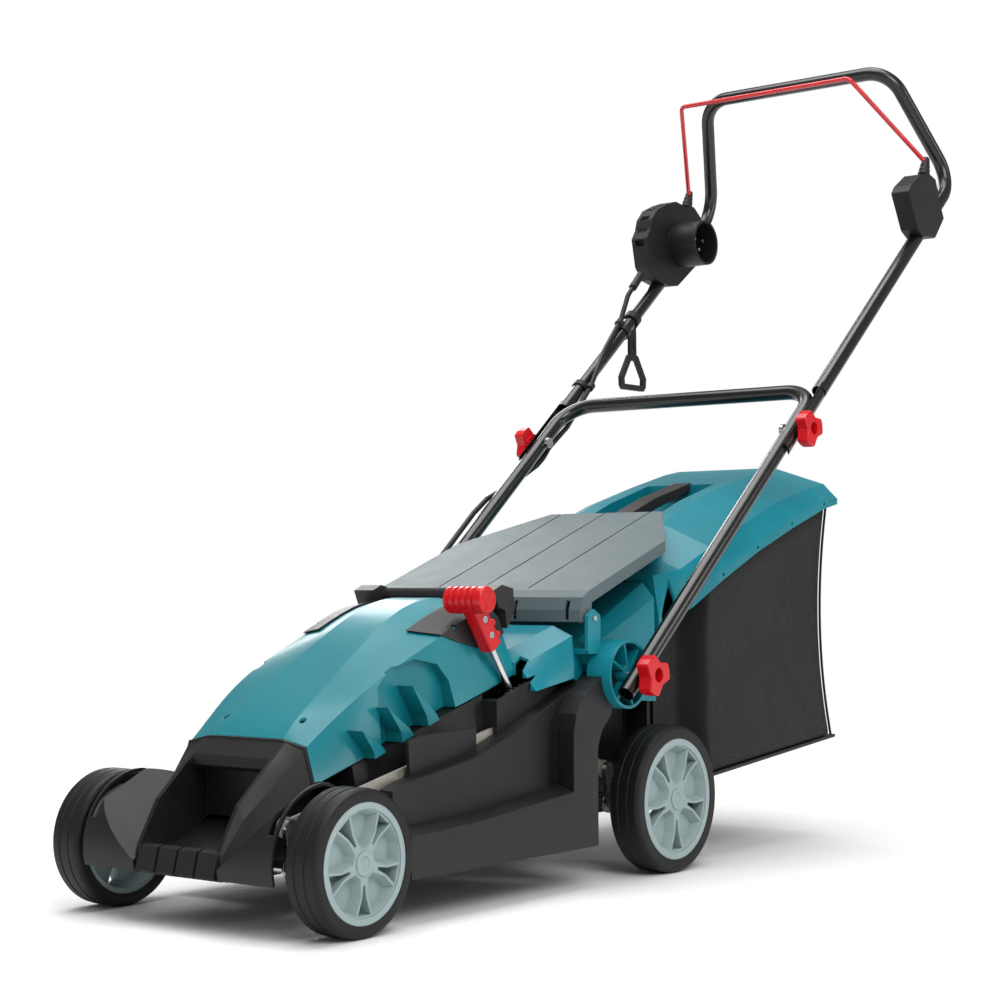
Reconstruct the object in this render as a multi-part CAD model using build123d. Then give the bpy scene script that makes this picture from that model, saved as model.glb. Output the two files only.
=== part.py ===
"""Corded electric rotary lawn mower with a rear grass box.

Millimetres, +Z up, front of the machine towards -Y, operator's left towards +X.
Stations along Y are measured from the front wheel axle while the pieces are drawn;
export() then shifts them so that the origin is under the centre of the whole machine.
"""
from math import atan2, cos, degrees, hypot, radians, sin
import os

from build123d import *

# ---------------------------------------------------------------- driving sizes
ORIGIN_STATION = 578.1

FRONT_WHEEL_R = 70.0
REAR_WHEEL_R = 83.5
WHEELBASE = 534.0
TRACK_HALF = 182.0
TYRE_WIDTH = 40.0
STUB_R = 6.0
RUNNING_GAP = 0.05

CRANK = (40.0, 4.0)
LINK_ARM = (-6.0, 38.0)
FRONT_PIVOT = (-CRANK[0], FRONT_WHEEL_R - CRANK[1])
REAR_PIVOT = (WHEELBASE - CRANK[0], REAR_WHEEL_R - CRANK[1])
CROSS_SHAFT_R = 6.0
LINK_PIN_R = 4.0

LEVER_PIVOT = (350.0, 150.0)
LEVER_X = 116.0
LEVER_TILT = 34.5
LEVER_THICKNESS = 6.0
LEVER_ROD_R = 4.5
LEVER_POSITIONS = 5
LEVER_STEP = 6.5
LEVER_NOTCHES_AHEAD = 1

SKIRT_HALF = 172.0
DECK_WALL = 3.5
DECK_BOTTOM = 45.0
DECK_FRONT = 77.0
DECK_REAR = 390.0
PART_SLOPE = 0.33
PART_START = (25.0, 134.0)

MOTOR_STATION = 222.0
BLADE_R = 152.0
MOTOR_FLOOR = 112.0
SHAFT_R = 7.0

TUBE_R = 9.5
TUBE_WALL = 1.3
LOWER_TUBE_X = 193.0
UPPER_TUBE_X = 199.0
LOWER_KNOB_AXIS = (435.0, 229.0)
UPPER_KNOB_AXIS = (781.0, 518.8)
HANDLE_SLOPE = 1.194
LOWER_BAR = (844.0, 571.5)
UPPER_BEND = (1232.6, 897.0)
UPPER_BAR = (1140.0, 1047.0)
UPPER_BAR_HALF = 150.0

BAIL_PIVOT = (1148.0, 882.0)
BAIL_ROD_R = 3.2
BAIL_END_X = 195.0
BAIL_CORNER = (136.0, 1048.0, 1020.0)
INLET_AXIS = (1120.0, 832.0)

FLAP_HINGE = (398.0, 291.0)
FLAP_HALF = 155.0
FLAP_REAR = 650.0
FLAP_REAR_Z = 415.0
FLAP_FRONT_Z = 322.0
FLAP_THICKNESS = 3.2

BAG_HALF = 158.0
BAG_WALL = 3.0

CABLE_R = 3.6


# ---------------------------------------------------------------- small helpers
def export(shape, name):
    """Write one named piece, shifted into the machine's own frame."""
    export_step(Pos(0, -ORIGIN_STATION, 0) * Compound(children=list(shape.solids())), f"parts/{name}.step")


def polygon(points):
    return make_face(Polyline(*points, close=True))


def prism_x(points, x0, x1):
    """Extrude a (station, z) outline from x0 to x1."""
    return extrude(Plane.YZ.offset(x0) * polygon(points), x1 - x0, dir=(1, 0, 0))


def prism_y(points, y0, y1):
    """Extrude an (x, z) outline from station y0 to y1."""
    face = Plane(origin=(0, y0, 0), x_dir=(1, 0, 0), z_dir=(0, -1, 0)) * polygon(points)
    return extrude(face, y1 - y0, dir=(0, 1, 0))


def prism_z(points, z0, z1):
    """Extrude an (x, station) outline from z0 to z1."""
    return extrude(Plane.XY.offset(z0) * polygon(points), z1 - z0, dir=(0, 0, 1))


def box(x0, x1, y0, y1, z0, z1):
    return Pos((x0 + x1) / 2, (y0 + y1) / 2, (z0 + z1) / 2) * Box(x1 - x0, y1 - y0, z1 - z0)


def rod_x(radius, x0, x1, at):
    """Cylinder along X between x0 and x1, centred on the (station, z) point at."""
    return Pos((x0 + x1) / 2, at[0], at[1]) * Rot(0, 90, 0) * Cylinder(radius, abs(x1 - x0))


def rod_z(radius, z0, z1, x=0.0, y=MOTOR_STATION):
    return Pos(x, y, (z0 + z1) / 2) * Cylinder(radius, z1 - z0)


def both(shape):
    """The shape and its mirror image across the machine's centre plane."""
    return shape + mirror(shape, about=Plane.YZ)


def step_along(start, direction, distance):
    return (start[0] + direction[0] * distance, start[1] + direction[1] * distance)


def section_loft(sections, ruled=True):
    """Loft through {station: [(x, z), ...]} outlines with equal point counts."""
    faces = []
    for station, points in sections.items():
        plane = Plane(origin=(0, station, 0), x_dir=(1, 0, 0), z_dir=(0, -1, 0))
        faces.append(plane * polygon(points))
    return loft(faces, ruled=ruled)


def symmetric(half):
    """Close a right-hand (x, z) half outline, listed top to bottom, with its mirror image."""
    return list(half) + [(-x, z) for x, z in reversed(half)]


def tube(points, bends, radius, wall=0.0):
    """Round tube along a filleted route."""
    path = FilletPolyline(*points, radius=bends)
    start = Plane(origin=path @ 0, z_dir=path % 0)
    solid = sweep(start * Circle(radius), path=path)
    if wall:
        solid = solid - sweep(start * Circle(radius - wall), path=path)
    return solid


HANDLE_DIR = (HANDLE_SLOPE / hypot(HANDLE_SLOPE, 1), 1 / hypot(HANDLE_SLOPE, 1))


# ---------------------------------------------------------------- wheels
def wheel_pocket(angle, ring_r, depth, taper):
    """One shield-shaped recess in the wheel's outer face, with sloping walls."""
    outline = [(0.30, -17), (0.62, -27), (0.97, -22), (1.0, 0), (0.97, 22), (0.62, 27), (0.30, 17)]
    points = []
    for fraction, spread in outline:
        turn = radians(angle + spread)
        points.append((fraction * ring_r * cos(turn), fraction * ring_r * sin(turn)))
    return extrude(Plane.YZ * polygon(points), -depth, taper=taper)


def wheel_slot(angle, ring_r, depth):
    """One narrow slot right through the web between two recesses."""
    outline = [(0.40, -3.5), (0.64, -5.5), (0.96, -10.5), (0.96, 10.5), (0.64, 5.5), (0.40, 3.5)]
    points = []
    for fraction, spread in outline:
        turn = radians(angle + spread)
        points.append((fraction * ring_r * cos(turn), fraction * ring_r * sin(turn)))
    return extrude(Plane.YZ.offset(1) * polygon(points), -depth)


def wheel_rim(tyre_r, hub_reach):
    """Rim with its outer face at x = 0, running inboard towards -x."""
    seat_r = tyre_r * 0.817
    ring_r = seat_r * 0.885
    web_depth = 17.0
    rim = rod_x(seat_r, -TYRE_WIDTH + 3, -0.8, (0, 0))
    rim -= rod_x(ring_r + 1, -TYRE_WIDTH - 1, -web_depth, (0, 0))
    rim -= rod_x(ring_r, -2.2, 1, (0, 0))
    for turn in range(5):
        rim -= Pos(-2.2, 0, 0) * wheel_pocket(18 + 72 * turn, ring_r, 10.5, 22)
        rim -= wheel_slot(54 + 72 * turn, ring_r, 30)
    hub = rod_x(11.5, -hub_reach, -0.8, (0, 0))
    hub -= Pos(-1.8, 0, 0) * Rot(0, 90, 0) * Cone(4.5, 8.5, 4.0)
    rim += hub
    rim = rim - rod_x(STUB_R + RUNNING_GAP, -hub_reach - 1, -4.0, (0, 0))
    return rim


def wheel_tyre(tyre_r):
    """Tyre ring with rounded shoulders and two shallow running grooves."""
    seat_r = tyre_r * 0.817
    inner, outer = -TYRE_WIDTH, 0.0
    profile = [
        (outer - 0.5, seat_r), (outer, seat_r + 1.5), (outer - 0.2, tyre_r - 4.5), (outer - 1.5, tyre_r - 2.0),
        (outer - 4.5, tyre_r - 0.4), (outer - 9, tyre_r), (outer - 12.5, tyre_r), (outer - 13.2, tyre_r - 1.0),
        (outer - 14.4, tyre_r - 1.0), (outer - 15.1, tyre_r), (inner + 15.1, tyre_r), (inner + 14.4, tyre_r - 1.0),
        (inner + 13.2, tyre_r - 1.0), (inner + 12.5, tyre_r), (inner + 9, tyre_r), (inner + 4.5, tyre_r - 0.4),
        (inner + 1.5, tyre_r - 2.0), (inner + 0.2, tyre_r - 4.5), (inner, seat_r + 1.5), (inner + 0.5, seat_r),
    ]
    face = Plane.XY * polygon(profile)
    return revolve(face, Axis.X, 360)


def build_wheels():
    axles = {
        "front": (FRONT_WHEEL_R, (0.0, FRONT_WHEEL_R), TRACK_HALF - 133.0),
        "rear": (REAR_WHEEL_R, (WHEELBASE, REAR_WHEEL_R), TRACK_HALF - 122.0),
    }
    for axle, (tyre_r, centre, hub_reach) in axles.items():
        rim = wheel_rim(tyre_r, hub_reach)
        tyre = wheel_tyre(tyre_r)
        for side, sign in (("left", 1), ("right", -1)):
            turn = Rot(0, 0, 0) if sign > 0 else Rot(0, 0, 180)
            place = Pos(sign * TRACK_HALF, centre[0], centre[1]) * turn
            export(place * rim, f"{axle}_{side}_rim")
            export(place * tyre, f"{axle}_{side}_tyre")


# ---------------------------------------------------------------- crank axles and height linkage
def crank_plate(pivot, x0, x1, with_link_arm):
    """Flat crank between the cross shaft and the wheel stub, with the link arm if it has one."""
    wheel = (pivot[0] + CRANK[0], pivot[1] + CRANK[1])
    plate = rod_x(12, x0, x1, pivot) + rod_x(11, x0, x1, wheel)
    plate += prism_x([(pivot[0] - 1, pivot[1] + 11), (wheel[0] - 1, wheel[1] + 10),
                      (wheel[0] + 1, wheel[1] - 10), (pivot[0] + 1, pivot[1] - 11)], x0, x1)
    if with_link_arm:
        pin = (pivot[0] + LINK_ARM[0], pivot[1] + LINK_ARM[1])
        plate += rod_x(8, x0, x1, pin)
        plate += prism_x([(pivot[0] - 10, pivot[1]), (pin[0] - 7.5, pin[1]), (pin[0] + 7.5, pin[1]),
                          (pivot[0] + 10, pivot[1])], x0, x1)
    return plate


def crank_axle(pivot, plate_x0, plate_x1, link_reach):
    """Cross shaft with a crank at each end, a wheel stub on each crank and the link pin."""
    wheel = (pivot[0] + CRANK[0], pivot[1] + CRANK[1])
    axle = rod_x(CROSS_SHAFT_R, -plate_x1, plate_x1, pivot)
    axle += crank_plate(pivot, plate_x0, plate_x1, True)
    axle += mirror(crank_plate(pivot, plate_x0, plate_x1, False), about=Plane.YZ)
    axle += both(rod_x(STUB_R, plate_x0, TRACK_HALF - 7, wheel))
    pin = (pivot[0] + LINK_ARM[0], pivot[1] + LINK_ARM[1])
    axle += rod_x(LINK_PIN_R, link_reach[0], link_reach[1], pin)
    return axle


def axle_fasteners(pivot, washer_x, plate_face, rim_face):
    """Thrust washers on the cross shaft and the push-on caps that hold the wheels."""
    washer = rod_x(12.5, washer_x, washer_x + 2.0, pivot) - rod_x(CROSS_SHAFT_R, washer_x - 1, washer_x + 3, pivot)
    wheel = (pivot[0] + CRANK[0], pivot[1] + CRANK[1])
    spacer = rod_x(9.5, plate_face, rim_face, wheel) - rod_x(STUB_R, plate_face - 1, rim_face + 1, wheel)
    return both(washer) + both(spacer)


def build_axles():
    front = crank_axle(FRONT_PIVOT, 126.0, 131.0, (119.0, 127.0))
    rear = crank_axle(REAR_PIVOT, 114.0, 119.0, (105.5, 115.0))
    export(front, "front_crank_axle")
    export(rear, "rear_crank_axle")
    export(axle_fasteners(FRONT_PIVOT, 124.0, 131.0, 132.7), "front_axle_washers")
    export(axle_fasteners(REAR_PIVOT, 112.0, 119.0, 121.7), "rear_axle_washers")


def link_bar(pin_a, pin_b, x0, x1, eye_r, half_width=6.5):
    """Flat link with an eye at each end."""
    along = (pin_b[0] - pin_a[0], pin_b[1] - pin_a[1])
    length = hypot(*along)
    side = (-along[1] / length * half_width, along[0] / length * half_width)
    bar = prism_x([(pin_a[0] + side[0], pin_a[1] + side[1]), (pin_b[0] + side[0], pin_b[1] + side[1]),
                   (pin_b[0] - side[0], pin_b[1] - side[1]), (pin_a[0] - side[0], pin_a[1] - side[1])], x0, x1)
    bar += rod_x(eye_r, x0, x1, pin_a) + rod_x(eye_r, x0, x1, pin_b)
    return bar


def lever_slot():
    """Room that the height lever's rod sweeps through the covers."""
    fan = [(40, -24), (165, -24), (170, -7), (165, 11), (40, 11)]
    outline = []
    for reach, turn in fan:
        lean = radians(LEVER_TILT + turn)
        outline.append(step_along(LEVER_PIVOT, (-sin(lean), cos(lean)), reach))
    return prism_x(outline, LEVER_X - LEVER_ROD_R - 1.2, LEVER_X + LEVER_ROD_R + 1.2)


def build_height_control():
    lever_pin = (LEVER_PIVOT[0] + LINK_ARM[0], LEVER_PIVOT[1] + LINK_ARM[1])
    front_pin = (FRONT_PIVOT[0] + LINK_ARM[0], FRONT_PIVOT[1] + LINK_ARM[1])
    rear_pin = (REAR_PIVOT[0] + LINK_ARM[0], REAR_PIVOT[1] + LINK_ARM[1])

    for name, pin, x0, x1 in (("front_link", front_pin, 120.5, 124.5), ("rear_link", rear_pin, 107.0, 111.0)):
        bar = link_bar(lever_pin, pin, x0, x1, 10.0)
        bar -= rod_x(LINK_PIN_R + RUNNING_GAP, x0 - 1, x1 + 1, lever_pin)
        bar -= rod_x(LINK_PIN_R + 0.5, x0 - 1, x1 + 1, pin)
        export(bar, name)

    tilt = radians(LEVER_TILT)
    up = (-sin(tilt), cos(tilt))
    x0, x1 = LEVER_X - LEVER_THICKNESS / 2, LEVER_X + LEVER_THICKNESS / 2
    plate = link_bar(LEVER_PIVOT, step_along(LEVER_PIVOT, up, 52), x0, x1, 8.5)
    plate += link_bar(LEVER_PIVOT, lever_pin, x0, x1, 8.5)
    plate += rod_x(LINK_PIN_R, 105.5, 126.0, lever_pin)
    plate -= rod_x(5 + RUNNING_GAP, x0 - 1, x1 + 1, LEVER_PIVOT)
    foot = step_along(LEVER_PIVOT, up, 46)
    rod_top = step_along(LEVER_PIVOT, up, 168)
    middle = ((foot[0] + rod_top[0]) / 2, (foot[1] + rod_top[1]) / 2)
    rod = Pos(LEVER_X, middle[0], middle[1]) * Rot(LEVER_TILT, 0, 0) * Cylinder(LEVER_ROD_R, 122)
    export(plate + rod, "height_lever_rod")

    grip_foot = step_along(LEVER_PIVOT, up, 137)
    grip_top = step_along(LEVER_PIVOT, up, 194)
    stem_mid = ((grip_foot[0] + grip_top[0]) / 2, (grip_foot[1] + grip_top[1]) / 2)
    stem = Pos(LEVER_X, stem_mid[0], stem_mid[1]) * Rot(LEVER_TILT, 0, 0) * Box(19, 21, 57)
    stem = fillet(stem.edges().filter_by(Axis((0, 0, 0), (0, up[0], up[1]))), 5)
    for k in range(3):
        at = step_along(LEVER_PIVOT, up, 146 + 15 * k)
        back = step_along(at, (cos(tilt), sin(tilt)), 10.5)
        stem += rod_x(3.4, LEVER_X - 8, LEVER_X + 8, back)
    grip_centre = step_along(LEVER_PIVOT, up, 197)
    bar = rod_x(14.5, LEVER_X - 27, LEVER_X + 24, grip_centre)
    bar = fillet(bar.edges().filter_by(GeomType.CIRCLE), 2.5)
    for k in range(5):
        x = LEVER_X - 20 + 8.2 * k
        bar -= rod_x(15.5, x - 1.6, x + 1.6, grip_centre) - rod_x(12.8, x - 1.6, x + 1.6, grip_centre)
    grip = stem + bar
    screws = None
    for k, reach in enumerate((152.0, 172.0)):
        at = step_along(LEVER_PIVOT, up, reach)
        well = rod_x(4.2, LEVER_X + 7.5, LEVER_X + 12, at)
        grip -= well
        grip -= rod_x(2.0, LEVER_X + 4.7, LEVER_X + 8, at)
        screw = rod_x(3.7, LEVER_X + 7.5, LEVER_X + 9.1, at) + rod_x(2.0, LEVER_X + 4.7, LEVER_X + 7.6, at)
        slot = Pos(LEVER_X + 9.0, at[0], at[1]) * Box(1.2, 4.4, 1.0)
        screw -= slot + Pos(LEVER_X + 9.0, at[0], at[1]) * Box(1.2, 1.0, 4.4)
        screws = screw if screws is None else screws + screw
    grip -= Pos(LEVER_X, 0, 0) * Pos(0, middle[0], middle[1]) * Rot(LEVER_TILT, 0, 0) * Cylinder(LEVER_ROD_R, 122)
    slot = Pos(LEVER_X + 24, grip_centre[0], grip_centre[1]) * Rot(-25, 0, 0) * Box(1.6, 1.2, 26)
    export(grip - slot, "height_lever_grip")
    export(screws, "height_lever_screws")


# ---------------------------------------------------------------- deck
DECK_SECTIONS = {
    DECK_FRONT: [(95, 150), (100, 131), (148, 128), (148, 93), (172, 86.6), (172, DECK_BOTTOM)],
    98.0: [(96, 157), (101, 137), (148, 135), (148, 93.5), (172, 87), (172, DECK_BOTTOM)],
    159.0: [(101, 177), (106, 145), (148, 144), (148, 96.5), (172, 90), (172, DECK_BOTTOM)],
    205.0: [(104, 192), (109, 153), (148, 152), (148, 98.6), (172, 93), (172, DECK_BOTTOM)],
    269.0: [(110, 213), (115, 174), (148, 172), (148, 105), (172, 99.5), (172, DECK_BOTTOM)],
    327.0: [(114, 232), (119, 197), (148, 195), (148, 112), (172, 105), (172, DECK_BOTTOM)],
    DECK_REAR: [(116, 238), (121, 223), (148, 222), (148, 119), (172, 111), (172, DECK_BOTTOM)],
}


def inset_section(half, wall):
    """Half outline moved inwards by the wall, with its lower edge dropped to open the bottom."""
    moved = [(x - wall, z - wall) for x, z in half[:-1]]
    return moved + [(half[-1][0] - wall, half[-1][1] - 20)]


def arch_strip():
    """Fender strip at the rear corner of the skirt, in front of and over the rear wheel."""
    inner = [(345, 100), (345, 170), (350, 189), (365, 209), (386, 223), (409, 232)]
    outer = [(430, 226), (414, 184), (398, 170), (390, 152), (390, 48), (345, 47)]
    return prism_x(inner + outer, 137, SKIRT_HALF)


def quadrant_body():
    """Raised guide on the deck that the height lever moves through."""
    return prism_x([(264, 206), (364, 237), (374.5, 207), (374.5, 180), (264, 160)], 101, 131)


def link_way():
    """Room for the front link beside the hood, from the nose to the lever."""
    low = LINK_ARM[1] + FRONT_PIVOT[1] + 0.2154 * (60 - FRONT_PIVOT[0] - LINK_ARM[0]) - 12
    return prism_x([(60, low), (60, low + 20), (330, low + 78), (330, low + 58)], 119, 126)


def build_deck():
    outer = section_loft({s: symmetric(h) for s, h in DECK_SECTIONS.items()})
    inner = section_loft({s: symmetric(inset_section(h, DECK_WALL)) for s, h in DECK_SECTIONS.items()})
    inner &= box(-200, 200, DECK_FRONT + DECK_WALL, DECK_REAR - DECK_WALL, 0, 400)
    nose_chamber = prism_z([(-62, DECK_FRONT + 5), (-62, 52), (62, 52), (62, DECK_FRONT + 5)], 48, 112)
    shell = outer + both(arch_strip()) + nose_chamber
    shell -= prism_z([(-58.5, DECK_FRONT + 8), (-58.5, 55.5), (58.5, 55.5), (58.5, DECK_FRONT + 8)], 40, 108.5)
    shell -= inner
    shell += box(-145, 145, DECK_FRONT + 2, DECK_REAR - 2, MOTOR_FLOOR - 3.5, MOTOR_FLOOR)
    bay = box(-91, 91, 31, 314, MOTOR_FLOOR, 400) & section_loft(
        {s: symmetric([(x + 3, z - 2) if i == 0 else (x, z) for i, (x, z) in enumerate(h)])
         for s, h in DECK_SECTIONS.items()})
    shell += bay
    shell -= box(-87.5, 87.5, DECK_FRONT + 6, 310.5, MOTOR_FLOOR, 400)
    shell -= rod_z(26, MOTOR_FLOOR - 5, MOTOR_FLOOR + 1)
    for k in range(4):
        turn = radians(45 + 90 * k)
        foot = rod_z(6.5, MOTOR_FLOOR - 1, MOTOR_FLOOR + 6, 66 * cos(turn), MOTOR_STATION + 66 * sin(turn))
        shell += foot - rod_z(1.8, MOTOR_FLOOR, MOTOR_FLOOR + 7, 66 * cos(turn), MOTOR_STATION + 66 * sin(turn))

    fin = prism_x([(116, 173), (138, 178), (224, 181), (224, 150), (119, 130)], 131, 135)
    rear_slot = box(-93, 93, DECK_REAR - 8, DECK_REAR + 3, 96, 214)
    shell = shell + both(fin) - rear_slot
    link_gap = link_way() + box(117, 131, 60, 119, 116, 175) + box(105, 113, DECK_REAR - 8, DECK_REAR + 3, 145, 195)
    lever_gap = box(102, 129, 266, 372, 140, 250)
    shell -= link_gap + lever_gap
    shell -= both(rod_x(10, 130, 180, LOWER_KNOB_AXIS))
    shell += box(126.5, 130, 330, 372, 112, 190)
    shell += rod_x(5.0, 112.0, 127.0, LEVER_PIVOT)
    export(shell, "deck_shell")
    build_guide(outer)
    return shell


def build_guide(deck_outer):
    """Notched guide that holds the height lever in each position."""

    guide = quadrant_body() - box(104, 127.5, 267, 371.5, 140, 400) - link_way()
    roof = prism_x([(266, 206), (364, 236.4), (365, 232), (267, 202)], 103, 128)
    roof -= box(109.5, 125.0, 272, 358, 180, 250)
    tooth_r = 86.0
    for k in range(LEVER_POSITIONS + 1):
        lean = radians(LEVER_TILT + (LEVER_NOTCHES_AHEAD + 0.5 - k) * LEVER_STEP)
        at = step_along(LEVER_PIVOT, (-sin(lean), cos(lean)), tooth_r)
        tooth = box(121.5, 126, at[0] - 1.4, at[0] + 1.4, at[1] - 30, at[1] + 40)
        roof += tooth & prism_x([(266, 206), (364, 236.4), (365, 232), (267, 202)], 103, 128)
    guide += roof
    guide -= deck_outer
    export(guide, "lever_guide")


NOSE_CHEEK = {
    26.0: [(53, 98), (53, 177), (56, 177), (80, 171), (92, 134), (92, 98)],
    -5.0: [(53, 72), (53, 152), (58, 152), (72, 140), (82, 112), (82, 72)],
    -42.0: [(53, 57), (53, 119), (57.5, 119), (64, 106), (70, 84), (70, 57)],
    -66.0: [(53, 50), (53, 78), (57, 78), (59, 72), (61, 62), (61, 50)],
}
FENDER_R = 72.0
FENDER_WALL = 3.0
FENDER_CROWN = ((92.0, 26.0, 134.0), (-0.577, -0.347, 0.740))


def below_crown(depth):
    """Half space under the fender's slanting crown, a given depth down from it."""
    return Plane(origin=FENDER_CROWN[0], z_dir=FENDER_CROWN[1]) * box(-300, 300, -300, 300, -400, -depth)


def build_nose(deck, hood_solid):
    cheek = section_loft(NOSE_CHEEK)
    inside = {}
    for station, points in NOSE_CHEEK.items():
        hem = points[0][1]
        inside[station] = [(56 if x == 53 else max(57, x - 3), z - 3 if z > hem else z - 20) for x, z in points]
    cheek -= section_loft(inside)
    fender = rod_x(FENDER_R, 58, 130, (0, FRONT_WHEEL_R)) & below_crown(0)
    fender -= rod_x(FENDER_R - FENDER_WALL, 61, 131, (0, FRONT_WHEEL_R)) & below_crown(FENDER_WALL)
    fender -= box(50, 140, -80, 80, -10, 49)
    fender -= box(50, 140, 77, 90, 0, 160)
    fender -= box(117, 131, 8, 90, 100, 160) + box(118.5, 126.5, -66, 90, 88, 160)
    for k in range(6):
        fender -= rod_x(6.5, 50, 131, (-66 + 21 * k, 46))
    beam = prism_x([(-72, 53), (-66, 76), (-58, 78), (-34, 66), (-34, 50), (-62, 49)], -54, 54)
    for x in (-27, 0, 27):
        beam -= box(x - 1.6, x + 1.6, -74, -57, 47, 80)
    lip = prism_x([(26, 177), (6, 160), (2, 155), (2, 150), (6, 146), (26, 160)], -54, 54)
    floor = prism_x([(-36, 66), (52, 104), (52, 98), (-36, 60)], -60, 60)
    collar_outline = [(-92, 98), (-92, 134), (-80, 171), (-48, 177.5), (48, 177.5), (80, 171), (92, 134), (92, 98)]
    collar = prism_y(collar_outline, 23.5, 27)
    bosses = rod_x(11, 56, 67, FRONT_PIVOT)
    nose = beam + lip + floor + collar + both(cheek + fender + bosses)
    nose -= box(-200, 200, 52, 120, 0, 112)
    shaft = rod_x(CROSS_SHAFT_R + RUNNING_GAP, -100, 100, FRONT_PIVOT)
    nose = nose - shaft - deck - hood_solid
    export(nose, "front_nose")


# ---------------------------------------------------------------- hood and carry handle
HOOD_SECTIONS = {
    28.0: [(48, 178), (80, 171.5), (92, 134)],
    68.0: [(43.5, 208), (86, 201), (94, 148.2)],
    122.0: [(38, 242), (93, 234), (98, 166)],
    200.0: [(30, 289), (96, 269), (103, 191.8)],
    250.0: [(28, 309), (98, 290), (108, 208.2)],
    290.0: [(30, 314), (99, 302), (111, 221.4)],
    306.0: [(30, 300), (98, 291), (112, 226.7)],
    320.0: [(30, 272), (97, 270), (113, 231.3)],
}
HOOD_CREST = 290.0
VENT_FINS = [
    [(75, 185), (92, 163), (95, 152), (113, 159), (105, 168)],
    [(113, 206), (133, 181), (136, 166), (155, 174), (147, 183)],
    [(151, 226), (173, 195), (178, 179), (197, 185), (189, 196)],
]


def hood_body(grow, hem):
    """Hood with its skin moved out by grow and its lower edge by hem: fair in front of the crest, ruled behind it."""
    sections = {}
    for station, half in HOOD_SECTIONS.items():
        skin = [(x + grow, z + grow) for x, z in half[:-1]]
        sections[station] = symmetric(skin + [(half[-1][0] + grow, half[-1][1] + hem)])
    front = section_loft({s: h for s, h in sections.items() if s <= HOOD_CREST}, ruled=False)
    return front + section_loft({s: h for s, h in sections.items() if s >= HOOD_CREST})


def build_hood():
    outer = hood_body(0, 0)
    inner = hood_body(-3, -12)
    inner &= box(-200, 200, 31, 317, 0, 400)
    arch = [(118, 160), (118, 225), (135, 243), (172, 252), (205, 246), (220, 228), (229, 190)]
    grown = [(115, 150), (115, 226), (133, 246), (172, 255), (207, 249), (223, 229), (232, 180)]
    hood = outer - both(prism_x(arch, 89, 130)) - (inner - both(prism_x(grown, 86, 130)))
    for fin in VENT_FINS:
        lower = [(s, z - 9) for s, z in fin[1:3]]
        slot = [fin[1], fin[2], (lower[1][0] + 10, lower[1][1] + 2), (lower[0][0] + 16, lower[0][1])]
        hood -= both(prism_x(slot, 84, 120))
        hood += both(prism_x(fin, 86, 111))
    hood -= outer_below_parting() + lever_slot()
    screws = None
    for sign in (-1, 1):
        hood += rod_z(5.5, 176, 189, sign * 53, 51)
        hood -= rod_z(3.6, 189, 215, sign * 53, 51)
        screw = rod_z(3.3, 189, 192, sign * 53, 51) - Pos(sign * 53, 51, 192) * Box(4.5, 1, 2)
        screws = screw if screws is None else screws + screw
    export(hood, "motor_hood")
    export(screws, "hood_screws")

    skin = hood_body(2.2, 0)
    region = [(196, 281), (214, 300), (262, 330), (330, 330), (330, 280), (315, 276), (266, 261), (238, 268)]
    wings = (skin - outer) & both(prism_x(region, 62, 106))
    wings -= both(rod_x(3.2, 90, 110, (233, 283)))
    bar = rod_x(9.0, -84, 84, (324, 317))
    ends = prism_x([(298, 322), (312, 328), (332, 324), (334, 300), (321, 281), (318, 300), (306, 304)], 72, 101)
    export(wings + bar + both(ends - outer), "carry_handle")
    return outer


def outer_below_parting():
    """Everything under the parting line between hood and deck."""
    z0 = PART_START[1] + PART_SLOPE * (0 - PART_START[0])
    z1 = PART_START[1] + PART_SLOPE * (340 - PART_START[0])
    return prism_x([(0, z0), (340, z1), (340, 40), (0, 40)], -140, 140)


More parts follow.
